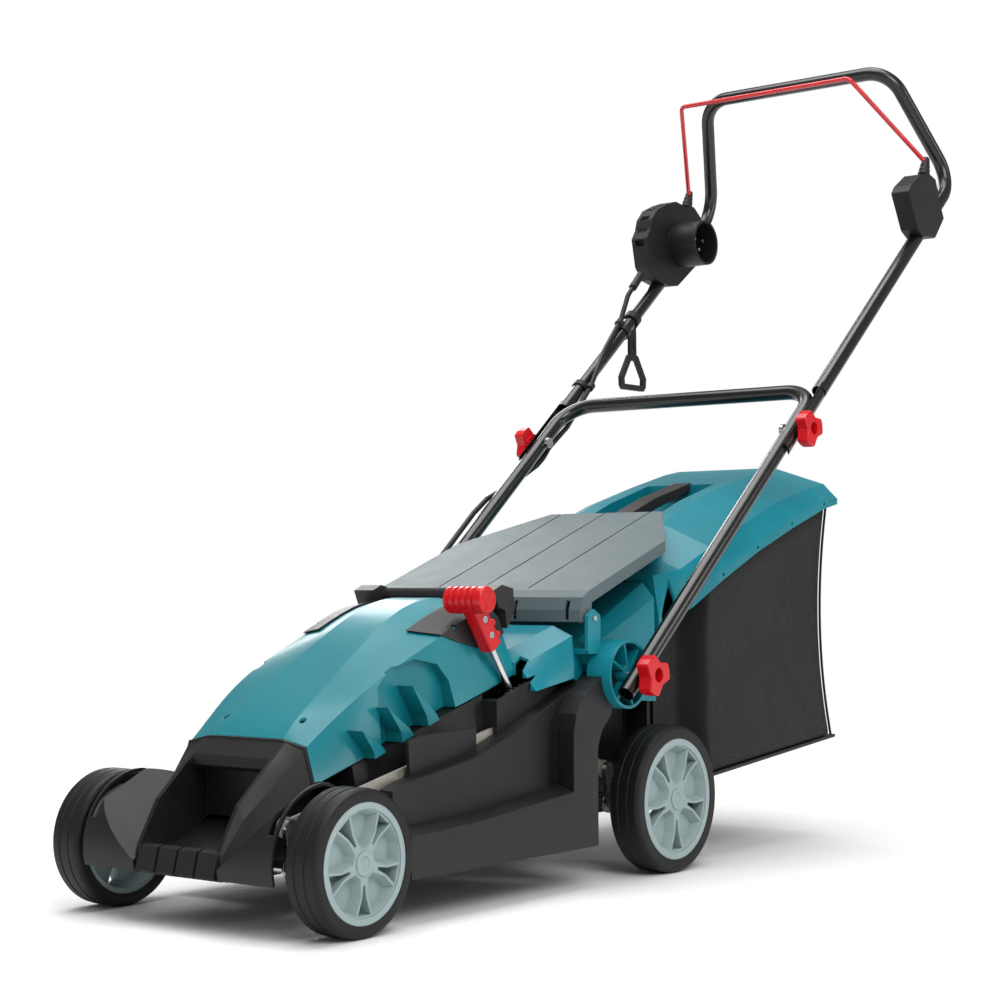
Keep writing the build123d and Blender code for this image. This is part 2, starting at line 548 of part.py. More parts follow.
# ---------------------------------------------------------------- motor and blade
def build_motor():
    stator = rod_z(46, 126, 212) - rod_z(33, 120, 220)
    for k in range(12):
        turn = 30 * k
        stator -= Pos(0, MOTOR_STATION, 0) * Rot(0, 0, turn) * Pos(39.5, 0, 169) * Box(9, 7, 100)
    stator += rod_z(44, 212, 221) - rod_z(36, 205, 223) + rod_z(44, 118, 126) - rod_z(36, 117, 130)
    export(stator, "motor_stator")

    lower = rod_z(52, MOTOR_FLOOR, 117) - rod_z(SHAFT_R + 9, 100, 120)
    for k in range(4):
        turn = radians(45 + 90 * k)
        x, y = 66 * cos(turn), MOTOR_STATION + 66 * sin(turn)
        ear = rod_z(8, MOTOR_FLOOR + 6, MOTOR_FLOOR + 10, x, y) + Pos(0, MOTOR_STATION, 0) * Rot(
            0, 0, 45 + 90 * k) * Pos(57, 0, MOTOR_FLOOR + 8) * Box(20, 12, 4)
        lower += ear - rod_z(2.2, MOTOR_FLOOR, MOTOR_FLOOR + 12, x, y)
    lower += rod_z(52, 117, 220) - rod_z(46, 110, 222)
    upper = rod_z(52, 222, 227) - rod_z(SHAFT_R + 8, 210, 240)
    upper += rod_z(52, 220, 222) - rod_z(46, 219, 223)
    upper += rod_z(22, 227, 236) - rod_z(SHAFT_R + 8, 210, 236)
    export(lower, "motor_lower_shield")
    export(upper, "motor_upper_shield")
    rings = rod_z(SHAFT_R + 9, MOTOR_FLOOR, 117) - rod_z(SHAFT_R + RUNNING_GAP, 100, 120)
    rings += rod_z(SHAFT_R + 8, 222, 234) - rod_z(SHAFT_R + RUNNING_GAP, 220, 240)
    export(rings, "motor_bearings")

    shaft = rod_z(SHAFT_R, 66, 240) + rod_z(5, 46, 67)
    export(shaft, "motor_shaft")
    core = rod_z(32, 130, 208) - rod_z(SHAFT_R, 100, 240)
    core -= rod_z(28, 129, 136) - rod_z(12, 120, 137)
    core -= rod_z(28, 202, 209) - rod_z(12, 200, 210)
    export(core, "rotor_core")
    fan = rod_z(40, 94, 97) - rod_z(SHAFT_R, 90, 120) + rod_z(12, 90, 107) - rod_z(SHAFT_R, 80, 120)
    for k in range(10):
        fan += Pos(0, MOTOR_STATION, 0) * Rot(0, 0, 36 * k) * Pos(25, 0, 101) * Box(28, 2, 9)
    export(fan, "cooling_fan")
    carrier = rod_z(24, 60, 70) + rod_z(15, 70, 90) - rod_z(SHAFT_R, 66, 100) - rod_z(5, 50, 70)
    export(carrier, "blade_carrier")

    tip = BLADE_R
    outline = [(-tip, -16), (-tip * 0.62, -26), (tip * 0.62, -26), (tip, -24), (tip, 16), (tip * 0.62, 26),
               (-tip * 0.62, 26), (-tip, 24)]
    blade = Pos(0, MOTOR_STATION, 0) * prism_z(outline, 57, 60)
    blade &= rod_z(BLADE_R, 50, 70)
    lift = Pos(0, MOTOR_STATION, 0) * prism_x([(14, 59), (26, 69), (26, 72), (12, 60)], tip * 0.68, tip * 0.93)
    blade += lift + Pos(0, MOTOR_STATION, 0) * Rot(0, 0, 180) * Pos(0, -MOTOR_STATION, 0) * lift
    export(blade - rod_z(5, 40, 70), "cutting_blade")
    bolt = rod_z(11, 51, 57) + Pos(0, MOTOR_STATION, 0) * prism_z(hexagon(8.5), 43, 51)
    export(bolt - rod_z(5, 46, 60), "blade_bolt")


def hexagon(radius, x=0.0, y=0.0):
    return [(x + radius * cos(radians(60 * k)), y + radius * sin(radians(60 * k))) for k in range(6)]


# ---------------------------------------------------------------- rear shroud, chute and handle brackets
SHROUD_SECTIONS = {
    321.0: [(88, 252), (118, 240), (140, 214)],
    379.0: [(120, 283), (146, 272), (149, 226)],
    380.0: [(120, 262), (142, 255), (147, 226)],
    430.0: [(120, 268), (136, 258), (138, 200)],
    556.0: [(120, 330), (136, 312), (138, 192)],
}


def build_rear(deck):
    outer = section_loft({s: symmetric(h) for s, h in SHROUD_SECTIONS.items()})
    inner = section_loft({s: symmetric([(x - 3, z - 3) for x, z in h[:-1]] + [(h[-1][0] - 3, h[-1][1] - 14)])
                          for s, h in SHROUD_SECTIONS.items()})
    inner &= box(-200, 200, 324, 600, 0, 400)
    shroud = outer - inner
    guide_room = prism_x([(255, 150), (255, 205), (372, 245), (380, 210), (380, 150)], 100, 132)
    deck_solid = section_loft({s: symmetric(h) for s, h in DECK_SECTIONS.items()})
    shroud = shroud - both(guide_room) - deck_solid - deck - lever_slot()
    lug = prism_x([(386, 255), (386, 294), (398, 301), (410, 294), (410, 255)], 157.5, 162)
    lug += box(138, 162, 388, 409, 252, 258)
    shroud += both(lug)
    shroud -= rod_x(3.0, -170, 170, FLAP_HINGE)
    export(shroud, "rear_shroud")
    export(rod_x(3.0, -164, 164, FLAP_HINGE), "flap_hinge_pin")
    export_cable_entry(outer)

    chute = box(-98, 98, DECK_REAR, 556, 92, 250) - box(-94.5, 94.5, DECK_REAR - 1, 560, 95.5, 400)
    arm = prism_x([(470, 95), (480, 66), (508, 66), (530, 95)], 92, 98)
    chute += both(arm)
    chute -= box(-80, 80, 460, 540, 60, 92)
    chute += both(rod_x(11, 90, 104.5, REAR_PIVOT))
    chute += box(-98, 98, DECK_REAR, DECK_REAR + 3, 92, 112) - box(-94, 94, DECK_REAR - 1, 400, 95.5, 200)
    chute -= rod_x(CROSS_SHAFT_R + RUNNING_GAP, -130, 130, REAR_PIVOT)
    export(chute, "discharge_chute")

    hub = LOWER_KNOB_AXIS
    bracket = rod_x(38, 152, 183, hub) - rod_x(34.5, 155, 184, hub)
    for lean in (-38, 12, 62, 142):
        rib = Pos(168, hub[0], hub[1]) * Rot(lean, 0, 0) * Box(28, 3, 73)
        bracket += rib & rod_x(36, 154, 183, hub)
    bracket += rod_x(11, 152, 183, hub) - rod_x(11.5, 182.9, 190, hub)
    bracket += box(138.5, 154, 405, 478, 240, 253) + box(138.5, 154, 412, 470, 206, 246)
    for k in range(4):
        bracket -= rod_z(2.6, 246, 256, 146, 422 + 15 * k)
    bracket -= rod_x(4.0, 100, 200, hub)
    bracket -= rod_x(8.0, 130, 156, hub)
    export(both(bracket) - deck - shroud, "handle_brackets")
    bolt = rod_x(4.0, 155, 214, hub) + rod_x(7.5, 150.5, 155.5, hub)
    export(both(bolt), "lower_handle_bolts")


# ---------------------------------------------------------------- discharge flap
def flap_top(station):
    return FLAP_FRONT_Z + (FLAP_REAR_Z - FLAP_FRONT_Z) * (station - 400) / (FLAP_REAR - 400)


def build_flap():
    rear = FLAP_REAR + 4
    top = [(382, 300), (387, 314), (400, FLAP_FRONT_Z), (rear, flap_top(rear))]
    side = top + [(rear, flap_top(rear) - 13), (400, FLAP_FRONT_Z - 15), (395, 287), (382, 287)]
    plan = [(-FLAP_HALF, 380), (FLAP_HALF, 380), (FLAP_HALF, 552), (84, rear), (-84, rear), (-FLAP_HALF, 552)]
    inner_plan = [(-FLAP_HALF + 3, 384), (FLAP_HALF - 3, 384), (FLAP_HALF - 3, 551), (82, rear - 3),
                  (-82, rear - 3), (-FLAP_HALF + 3, 551)]
    under = [(385.2, 280), (385.2, 300), (389, 311.5), (401, FLAP_FRONT_Z - FLAP_THICKNESS),
             (rear + 5, flap_top(rear + 5) - FLAP_THICKNESS), (rear + 5, 280)]
    flap = prism_x(side, -FLAP_HALF, FLAP_HALF) & prism_z(plan, 250, 450)
    flap -= prism_x(under, -FLAP_HALF, FLAP_HALF) & prism_z(inner_plan, 250, 450)
    for x in (-67, 0, 67):
        groove = prism_x([(405, flap_top(405) - 1.3), (405, flap_top(405) + 4), (rear + 3, flap_top(rear + 3) + 4),
                          (rear + 3, flap_top(rear + 3) - 1.3)], x - 1.2, x + 1.2)
        flap -= groove
    for x in (64, 136):
        flap -= both(box(x - 3, x + 3, 380, 391, 289, 310))
    eye = rod_x(6.0, 144, FLAP_HALF, FLAP_HINGE) + box(144, FLAP_HALF, 392.5, 403.5, 291, 314)
    flap += both(eye)
    for x in (-40, 40):
        flap += rod_x(5.5, x - 6, x + 6, FLAP_HINGE) + box(x - 6, x + 6, 393, 403, 291, 314)
    flap -= rod_x(3.0 + RUNNING_GAP, -200, 200, FLAP_HINGE)
    export(flap, "discharge_flap")


# ---------------------------------------------------------------- grass box
LID_SECTIONS = {
    566.0: [(80, 350), (128, 338), (136, 290), (136, 276)],
    605.0: [(80, 368), (140, 345), (158, 322), (158, 300)],
    661.0: [(78, 402), (148, 372), (167, 345), (167, 333)],
    740.0: [(76, 432), (149, 402), (168, 378), (168, 367)],
    823.0: [(75, 456), (150, 432), (169, 410), (169, 397)],
    905.0: [(75, 476), (150, 452), (170, 436), (170, 424)],
    940.0: [(75, 482), (150, 458), (170, 438), (170, 431)],
}
BAG_TOP = [(566, 272), (605, 298), (661, 330), (740, 364), (823, 394), (905, 421), (930, 428)]


def build_grass_box():
    outer = section_loft({s: symmetric(h) for s, h in LID_SECTIONS.items()})
    inner = section_loft({s: symmetric([(x - 3, z - 3) for x, z in h[:-1]] + [(h[-1][0] - 3, h[-1][1] - 12)])
                          for s, h in LID_SECTIONS.items()})
    inner &= box(-200, 200, 569, 937, 0, 600)
    well = prism_x([(655, 376), (655, 470), (830, 520), (830, 434)], -52, 52)
    well_wall = prism_x([(652, 370), (652, 470), (833, 520), (833, 429)], -55, 55)
    lid = outer - (inner - well_wall) - well
    lid -= box(-90, 90, 560, 572, 200, 342)
    for station, z in ((661, 339), (740, 372.5), (823, 403.5), (905, 430)):
        lid -= both(rod_x(2.2, 160, 175, (station, z)))
    lid -= both(box(136.5, 200, 560, 586, 200, 420))
    export(lid, "box_lid")

    grip = prism_x([(652, 392), (652, 401), (672, 410), (750, 438), (833, 460), (833, 450), (750, 424),
                    (672, 396)], -13, 13)
    export(grip - (outer - well), "box_grip")

    rear_curve = [(930, 428), (917, 395), (914, 358), (920, 300), (938, 131)]
    bottom = [(643, 104), (566, 112)]
    side = BAG_TOP[:-1] + rear_curve + bottom
    bag = prism_x(side, -BAG_HALF, BAG_HALF) & prism_z(bag_plan(0), 90, 500)
    hollow_side = [(s, z - 6) for s, z in BAG_TOP[:-1]] + [(s - 4, z) for s, z in rear_curve[1:-1]]
    hollow_side += [(931, 137), (644, 109), (560, 117)]
    hollow_side[0] = (560, BAG_TOP[0][1] - 9)
    bag -= prism_x(hollow_side, -BAG_HALF, BAG_HALF) & prism_z(bag_plan(BAG_WALL), 90, 500)
    lid_solid = section_loft({s: symmetric(h[:-1] + [(h[-1][0], h[-1][1] - 0.5)]) for s, h in LID_SECTIONS.items()})
    export(bag - lid_solid, "grass_bag")

    base = prism_x([(566, 106.5), (643, 98.5), (950, 127), (950, 130.5), (938, 129.8), (643, 102.5),
                    (566, 110.5)], -BAG_HALF, BAG_HALF) & prism_z(bag_plan(-1.5), 90, 500)
    mouth = box(-124, 124, 558, 565.5, 107, 270) - box(-93, 93, 550, 570, 114, 262)
    mouth += box(-124, 124, 558, 568, 106.8, 110)
    export(base + mouth, "box_frame")


def bag_plan(wall):
    """Plan outline of the bag, narrower in front where it passes between the rear wheels."""
    wide, neck = BAG_HALF - wall, 130 - wall
    front = 566 if wall <= 0 else 560
    return [(-neck, front), (neck, front), (neck, 624 + wall), (wide, 640 + wall), (wide, 960), (-wide, 960),
            (-wide, 640 + wall), (-neck, 624 + wall)]


# ---------------------------------------------------------------- handles
def on_handle(along, above, x):
    """Point by distance along the handle from the upper pivot, height above its line, and x."""
    u, v = HANDLE_DIR
    return (x, UPPER_KNOB_AXIS[0] + along * u - above * v, UPPER_KNOB_AXIS[1] + along * v + above * u)


def build_handles():
    start = (LOWER_TUBE_X, 413.0, 208.6)
    route = [start, (LOWER_TUBE_X, *LOWER_BAR), (-LOWER_TUBE_X, *LOWER_BAR), (-LOWER_TUBE_X, 413.0, 208.6)]
    lower = tube(route, 42, TUBE_R, TUBE_WALL)
    for axis, radius in ((LOWER_KNOB_AXIS, 4.0 + RUNNING_GAP), (UPPER_KNOB_AXIS, 4.0)):
        lower -= rod_x(radius, -230, 230, axis)
    export(lower, "lower_handle")

    top = (UPPER_BAR_HALF, *UPPER_BAR)
    begin = on_handle(78, 0, UPPER_TUBE_X)
    bend = (UPPER_TUBE_X, *UPPER_BEND)
    route = [begin, bend, top, (-top[0], top[1], top[2]), (-bend[0], bend[1], bend[2]),
             (-begin[0], begin[1], begin[2])]
    path = FilletPolyline(*route, radius=46)
    plane = Plane(origin=path @ 0, z_dir=path % 0)
    upper_solid = sweep(plane * Circle(TUBE_R), path=path)
    upper = upper_solid - sweep(plane * Circle(TUBE_R - TUBE_WALL), path=path)
    mid = on_handle(24, 0, 194.5)
    lean = degrees(atan2(HANDLE_DIR[0], HANDLE_DIR[1]))
    flat = Pos(*mid) * Rot(-lean, 0, 0) * Cylinder(12.5, 130)
    flat &= box(202.9, 230, 600, 900, 400, 700)
    flat -= rod_x(4.0 + RUNNING_GAP, 180, 230, UPPER_KNOB_AXIS)
    upper += both(flat)
    export(upper, "upper_handle")

    bolt = rod_x(4.0, 178.7, 217, UPPER_KNOB_AXIS) + rod_x(7.0, 178.7, 183.5, UPPER_KNOB_AXIS)
    lower_wall = tube([(LOWER_TUBE_X, 413.0, 208.6), (LOWER_TUBE_X, *LOWER_BAR), (0, *LOWER_BAR)], 42, TUBE_R)
    hollow = tube([(LOWER_TUBE_X, 413.0, 208.6), (LOWER_TUBE_X, *LOWER_BAR), (0, *LOWER_BAR)], 42, TUBE_R - TUBE_WALL)
    bolt -= (lower_wall - hollow) - rod_x(4.0, 100, 230, UPPER_KNOB_AXIS)
    export(both(bolt), "upper_handle_bolts")
    return upper_solid


def knob(x0, x1, axis, bolt_end):
    """Three-lobed hand knob with a round recess in its outer face."""
    points = []
    for lobe in range(3):
        centre = 9 + 120 * lobe
        for spread, radius in ((-24, 23.5), (0, 22.5), (24, 23.5), (60, 14.5)):
            turn = radians(centre + spread)
            points.append((axis[0] + radius * cos(turn), axis[1] + radius * sin(turn)))
    body = prism_x(points, x0 + 3, x1)
    body = fillet(body.edges().filter_by(Axis.X), 3.5)
    body = chamfer(body.faces().sort_by(Axis.X)[-1].edges(), 1.4)
    body += rod_x(11, x0, x0 + 4, axis)
    body -= rod_x(8, bolt_end - 2, x1 + 1, axis)
    return body - rod_x(4.0 + RUNNING_GAP, x0 - 1, x1, axis)


def build_knobs():
    for level, axis, x0, x1, bolt_end in (("lower", LOWER_KNOB_AXIS, 203.0, 222.0, 214.0),
                                          ("upper", UPPER_KNOB_AXIS, 207.4, 225.0, 217.0)):
        shape = knob(x0, x1, axis, bolt_end)
        export(shape, f"{level}_left_knob")
        export(mirror(shape, about=Plane.YZ), f"{level}_right_knob")


def build_bail(upper_solid):
    p = BAIL_PIVOT
    x = BAIL_END_X
    corner = BAIL_CORNER
    route = [(x, p[0] + 2, p[1] + 3), (x, p[0] + 12, p[1] + 32), corner, (-corner[0], corner[1], corner[2]),
             (-x, p[0] + 12, p[1] + 32), (-x, p[0] + 2, p[1] + 3)]
    rod = tube(route, 10, BAIL_ROD_R)
    rod += both(rod_x(6.5, x - 3, x + 3, p)) - rod_x(2.5 + RUNNING_GAP, -220, 220, p)
    export(rod, "bail_rod")

    room = rod_x(9.0, x - 4.5, x + 4.5, p)
    room += prism_x([(p[0] - 7, p[1]), (p[0] - 7, p[1] + 40), (p[0] + 34, p[1] + 40), (p[0] + 24, p[1] + 2),
                     (p[0] + 8, p[1] - 4)], x - 4.5, x + 4.5)
    pin = rod_x(2.5, x - 6, x + 6, p)
    outline = [(1072, 858), (1080, 868), (1112, 888), (1136, 893), (1156, 888), (1170, 855), (1181, 836),
               (1153, 805), (1118, 802), (1100, 811)]
    housing = prism_x(outline, 186, 213)
    housing = fillet(housing.edges().filter_by(Axis.X), 3)
    housing = fillet(housing.faces().sort_by(Axis.X)[-1].edges(), 3)
    housing = housing - room - upper_solid
    housing += pin
    export(housing, "bail_housing")

    box_outline = [(1045, 862), (1040, 846), (1031, 832), (1040, 792), (1057, 774), (1090, 768), (1114, 771),
                   (1170, 811), (1190, 846), (1180, 882), (1160, 896), (1138, 893), (1110, 897), (1085, 889),
                   (1060, 878)]
    switch = prism_x(box_outline, -213, -186)
    switch = fillet(switch.edges().filter_by(Axis.X), 3)
    for k in range(5):
        turn = radians(112 + 17 * k)
        at = (1112 + 78 * cos(turn), 826 + 70 * sin(turn))
        switch -= rod_x(4.5, -207, -192, at)
    socket_r = 33
    switch += rod_x(socket_r, -190, -183, INLET_AXIS)
    switch = switch - mirror(room, about=Plane.YZ) - upper_solid
    button_at = (1078.0, 838.0)
    switch -= rod_x(9.3, -214, -204, button_at)
    switch += mirror(pin, about=Plane.YZ)
    switch = switch - cable(UPPER_CABLE) - cable_sleeve()
    barrel = rod_x(socket_r, -184, -140, INLET_AXIS) - rod_x(29.5, -178, -139, INLET_AXIS)
    pins = None
    for y, z in ((-11, 5), (11, 5), (0, -9)):
        at = (INLET_AXIS[0] + y, INLET_AXIS[1] + z)
        pin_shape = rod_x(2.4, -178, -152, at) + rod_x(1.8, -181, -178, at)
        barrel -= rod_x(1.8, -181, -177, at)
        pins = pin_shape if pins is None else pins + pin_shape
    export(switch + barrel, "switch_box")
    export(pins, "inlet_pins")
    button = rod_x(9.0, -216, -208, button_at)
    export(fillet(button.edges().filter_by(GeomType.CIRCLE), 1.2), "lock_button")


# ---------------------------------------------------------------- cable, clips and cable hook
LOWER_CABLE = [(-412, 14.5, -193), (-340, 14.5, -197), (-207, 15, -199), (-166, 11, -204.8), (-131, 6.5, -206.5),
               (-95, -6, -207.5), (-55, -15, -203), (-25, -17.8, -195)]
UPPER_CABLE = [(13, -17.5, -197), (60, -17.5, -192), (130, 0, -182), (200, 14, -189), (275, 16, -199),
               (314, 33, -199), (362, 37.5, -199)]


def cable(points):
    route = [on_handle(*p) for p in points]
    return tube(route, 14, CABLE_R)


def cable_sleeve():
    """Strain relief where the cable enters the switch box."""
    ends = [UPPER_CABLE[-2], UPPER_CABLE[-1]]
    near = [ends[0][i] + 0.35 * (ends[1][i] - ends[0][i]) for i in range(3)]
    far = [ends[0][i] + 0.98 * (ends[1][i] - ends[0][i]) for i in range(3)]
    path = Line(on_handle(*near), on_handle(*far))
    return sweep(Plane(origin=path @ 0, z_dir=path % 0) * Circle(6.0), path=path)


def export_cable_entry(shroud_solid):
    """Short end of the motor cable between the rear shroud and the lower handle."""
    entry = tube([(-130, 422, 262), (-150, 428, 271), (-177.5, 443, 273)], 8, CABLE_R)
    export(entry - shroud_solid, "cable_entry")


def build_cable():
    lower = cable(LOWER_CABLE)
    upper = cable(UPPER_CABLE)
    export(lower, "cable_lower")
    export(upper + cable_sleeve(), "cable_upper")

    clips = None
    lean = degrees(atan2(HANDLE_DIR[0], HANDLE_DIR[1]))
    for along, cable_above, cable_x in ((130, 0, -182), (268, 15.8, -198)):
        centre = on_handle(along, 0, -UPPER_TUBE_X)
        beside = on_handle(along, cable_above, cable_x)
        band = Pos(*centre) * Rot(-lean, 0, 0) * Cylinder(TUBE_R + 2, 9)
        band += Pos(*beside) * Rot(-lean, 0, 0) * Cylinder(CABLE_R + 2, 9)
        band -= Pos(*centre) * Rot(-lean, 0, 0) * Cylinder(TUBE_R + 0.02, 30)
        clips = band if clips is None else clips + band
    export(clips - upper, "cable_clips")

    centre = on_handle(299, 0, -UPPER_TUBE_X)
    collar = Pos(*centre) * Rot(-lean, 0, 0) * (Cylinder(TUBE_R + 3.0, 12) - Cylinder(TUBE_R + 0.3, 14))
    s0, z0 = centre[1], centre[2]
    strap = [(s0 - 8, z0 - 9), (s0 + 7, z0 - 9), (s0 + 8, z0 - 56), (s0 - 8, z0 - 56)]
    body = prism_x(strap, -201.5, -196.5)
    body -= prism_x([(s0 - 1, z0 - 26), (s0 + 1, z0 - 26), (s0 + 4, z0 - 45), (s0 - 4, z0 - 45)], -205, -190)
    ring_out = prism_x([(s0 - 11, z0 - 52), (s0 + 11, z0 - 52), (s0 + 32, z0 - 84), (s0 + 31, z0 - 97),
                        (s0 + 26, z0 - 103), (s0 - 26, z0 - 103), (s0 - 31, z0 - 98), (s0 - 32, z0 - 85)],
                       -202, -196)
    ring_in = prism_x([(s0 - 7, z0 - 60), (s0 + 7, z0 - 60), (s0 + 24, z0 - 86), (s0 + 23, z0 - 95),
                       (s0 - 23, z0 - 95), (s0 - 24, z0 - 87)], -205, -190)
    hook = collar + (body + ring_out - ring_in)
    hook -= Pos(*centre) * Rot(-lean, 0, 0) * Cylinder(TUBE_R + 0.3, 40)
    export(hook, "cable_hook")


# ---------------------------------------------------------------- build everything
os.makedirs("parts", exist_ok=True)
DECK = build_deck()
HOOD_SOLID = build_hood()
build_nose(DECK, HOOD_SOLID)
build_motor()
build_rear(DECK)
build_axles()
build_height_control()
build_wheels()
build_flap()
build_grass_box()
UPPER_SOLID = build_handles()
build_knobs()
build_bail(UPPER_SOLID)
build_cable()
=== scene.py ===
"""Corded electric rotary lawn mower with a rear grass box: materials, soft goods, light and camera."""
import math

import bmesh
import bpy
from mathutils import Matrix, Vector, noise


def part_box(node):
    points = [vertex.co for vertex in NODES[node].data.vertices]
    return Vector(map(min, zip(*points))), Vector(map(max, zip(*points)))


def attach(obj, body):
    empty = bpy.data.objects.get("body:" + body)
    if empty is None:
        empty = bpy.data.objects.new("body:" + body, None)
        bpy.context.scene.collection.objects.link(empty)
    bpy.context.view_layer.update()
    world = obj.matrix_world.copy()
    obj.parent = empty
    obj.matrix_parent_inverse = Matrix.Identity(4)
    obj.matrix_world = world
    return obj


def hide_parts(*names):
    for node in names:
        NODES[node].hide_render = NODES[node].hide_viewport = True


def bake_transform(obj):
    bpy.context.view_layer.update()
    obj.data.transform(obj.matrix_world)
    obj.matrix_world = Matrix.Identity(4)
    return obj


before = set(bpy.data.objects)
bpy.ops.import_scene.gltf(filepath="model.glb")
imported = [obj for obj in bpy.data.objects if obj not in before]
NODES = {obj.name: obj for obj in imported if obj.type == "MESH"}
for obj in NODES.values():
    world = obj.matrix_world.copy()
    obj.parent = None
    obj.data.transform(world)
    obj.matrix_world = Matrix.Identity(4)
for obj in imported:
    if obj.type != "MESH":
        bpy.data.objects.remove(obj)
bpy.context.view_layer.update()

# The front axle is the station that the camera and the soft parts are placed from.
FRONT_AXLE_Y = sum(c[1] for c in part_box("front_left_tyre")) / 2


# ---------------------------------------------------------------- node helpers
class Graph:
    """Small wrapper round a material's node tree."""

    def __init__(self, name):
        self.material = bpy.data.materials.new(name)
        self.material.use_nodes = True
        self.tree = self.material.node_tree
        self.shader = self.tree.nodes["Principled BSDF"]
        self.coords = self.tree.nodes.new("ShaderNodeTexCoord").outputs["Object"]

    def node(self, kind, inputs=None, **settings):
        made = self.tree.nodes.new(kind)
        for key, value in settings.items():
            setattr(made, key, value)
        for key, value in (inputs or {}).items():
            self.put(made.inputs[key], value)
        return made

    def put(self, socket, value):
        if isinstance(value, bpy.types.NodeSocket):
            self.tree.links.new(value, socket)
        else:
            socket.default_value = value

    def noise(self, scale, detail=3.0, roughness=0.5):
        made = self.node("ShaderNodeTexNoise", {"Vector": self.coords, "Scale": scale, "Detail": detail,
                                                "Roughness": roughness})
        return made.outputs["Fac"]

    def ramp(self, fac, low, high, at=(0.3, 0.7)):
        made = self.node("ShaderNodeValToRGB", {"Fac": fac})
        made.color_ramp.elements[0].position = at[0]
        made.color_ramp.elements[1].position = at[1]
        made.color_ramp.elements[0].color = low
        made.color_ramp.elements[1].color = high
        return made.outputs["Color"]

    def span(self, fac, low, high):
        made = self.node("ShaderNodeMapRange", {"Value": fac, "To Min": low, "To Max": high})
        return made.outputs["Result"]

    def math(self, operation, a, b=0.0):
        made = self.node("ShaderNodeMath", {0: a, 1: b}, operation=operation)
        return made.outputs["Value"]

    def mix(self, fac, a, b):
        made = self.node("ShaderNodeMix", data_type="RGBA")
        self.put(made.inputs[0], fac)
        self.put(made.inputs[6], a)
        self.put(made.inputs[7], b)
        return made.outputs[2]

    def bump(self, heights, rounding=0.0):
        """Chain of bumps from (height, strength, distance) rows, over an optional rounded edge."""
        normal = None
        if rounding:
            normal = self.node("ShaderNodeBevel", {"Radius": rounding}, samples=4).outputs["Normal"]
        for height, strength, distance in heights:
            inputs = {"Height": height, "Strength": strength, "Distance": distance}
            if normal is not None:
                inputs["Normal"] = normal
            normal = self.node("ShaderNodeBump", inputs).outputs["Normal"]
        self.put(self.shader.inputs["Normal"], normal)


def rgba(rgb, gain=1.0):
    return (rgb[0] * gain, rgb[1] * gain, rgb[2] * gain, 1.0)


def edge_light(graph, amount):
    """Mask of worn convex edges, broken up by noise."""
    pointed = graph.node("ShaderNodeNewGeometry").outputs["Pointiness"]
    edge = graph.node("ShaderNodeMapRange", {"Value": pointed, "From Min": 0.515, "From Max": 0.60,
                                             "To Min": 0.0, "To Max": amount}).outputs["Result"]
    return graph.math("MULTIPLY", edge, graph.span(graph.noise(60, 4), 0.3, 1.0))


PLASTIC_SPECULAR = 0.3


def moulded(name, rgb, rough, grain=0.25, grain_scale=900, coat=0.0, rounding=0.0012, edge=0.25):
    """Moulded plastic: fine spark grain, slight flow mottling and brighter rubbed edges."""
    g = Graph(name)
    mottle = g.ramp(g.noise(9, 3), rgba(rgb, 0.92), rgba(rgb, 1.06))
    worn = g.mix(edge_light(g, edge), mottle, rgba([min(1, c * 1.5 + 0.02) for c in rgb]))
    g.put(g.shader.inputs["Base Color"], worn)
    g.put(g.shader.inputs["Roughness"], g.span(g.noise(35, 4), rough * 0.85, rough * 1.15))
    g.shader.inputs["Specular IOR Level"].default_value = PLASTIC_SPECULAR
    g.shader.inputs["Coat Weight"].default_value = coat
    g.shader.inputs["Coat Roughness"].default_value = 0.12
    g.bump([(g.noise(grain_scale, 2), grain, 0.0003), (g.noise(14, 2), 0.12, 0.001)], rounding)
    return g.material


def metal(name, rgb, rough, brushed=0.2, streak=(1, 1, 1), metallic=1.0, coat=0.0):
    """Plated or bare metal with fine drawn streaks and dull patches."""
    g = Graph(name)
    mapping = g.node("ShaderNodeMapping", {"Vector": g.coords, "Scale": streak})
    lines = g.node("ShaderNodeTexNoise", {"Vector": mapping.outputs["Vector"], "Scale": 400, "Detail": 4})
    patch = g.noise(45, 4)
    g.put(g.shader.inputs["Base Color"], g.ramp(patch, rgba(rgb, 0.8), rgba(rgb, 1.05)))
    g.shader.inputs["Metallic"].default_value = metallic
    g.put(g.shader.inputs["Roughness"], g.span(patch, rough * 0.7, rough * 1.35))
    g.shader.inputs["Coat Weight"].default_value = coat
    g.shader.inputs["Coat Roughness"].default_value = 0.08
    g.bump([(lines.outputs["Fac"], brushed, 0.0002)], 0.0004)
    return g.material


def woven(name, rgb, pitch):
    """Tight plain weave of polyester yarn: crossing bands that break up at each yarn."""
    g = Graph(name)
    bands = []
    for direction in ("X", "Y", "Z"):
        bands.append(g.node("ShaderNodeTexWave", {"Vector": g.coords, "Scale": 1 / pitch, "Distortion": 0.6,
                                                  "Detail": 1.0}, bands_direction=direction).outputs["Fac"])
    weave = g.math("MULTIPLY", bands[2], g.math("MULTIPLY", g.math("ADD", bands[0], bands[1]), 0.7))
    slub = g.noise(220, 4)
    tone = g.ramp(g.math("MULTIPLY", weave, slub), rgba(rgb, 0.55), rgba(rgb, 1.5), (0.05, 0.55))
    g.put(g.shader.inputs["Base Color"], g.mix(g.noise(6, 4), tone, rgba(rgb, 1.25)))
    g.put(g.shader.inputs["Roughness"], g.span(slub, 0.55, 0.8))
    g.shader.inputs["Sheen Weight"].default_value = 0.08
    g.shader.inputs["Specular IOR Level"].default_value = 0.2
    g.shader.inputs["Sheen Roughness"].default_value = 0.4
    g.bump([(weave, 0.5, 0.0006), (g.noise(26, 4), 0.55, 0.004), (g.noise(70, 3), 0.3, 0.0015)])
    return g.material


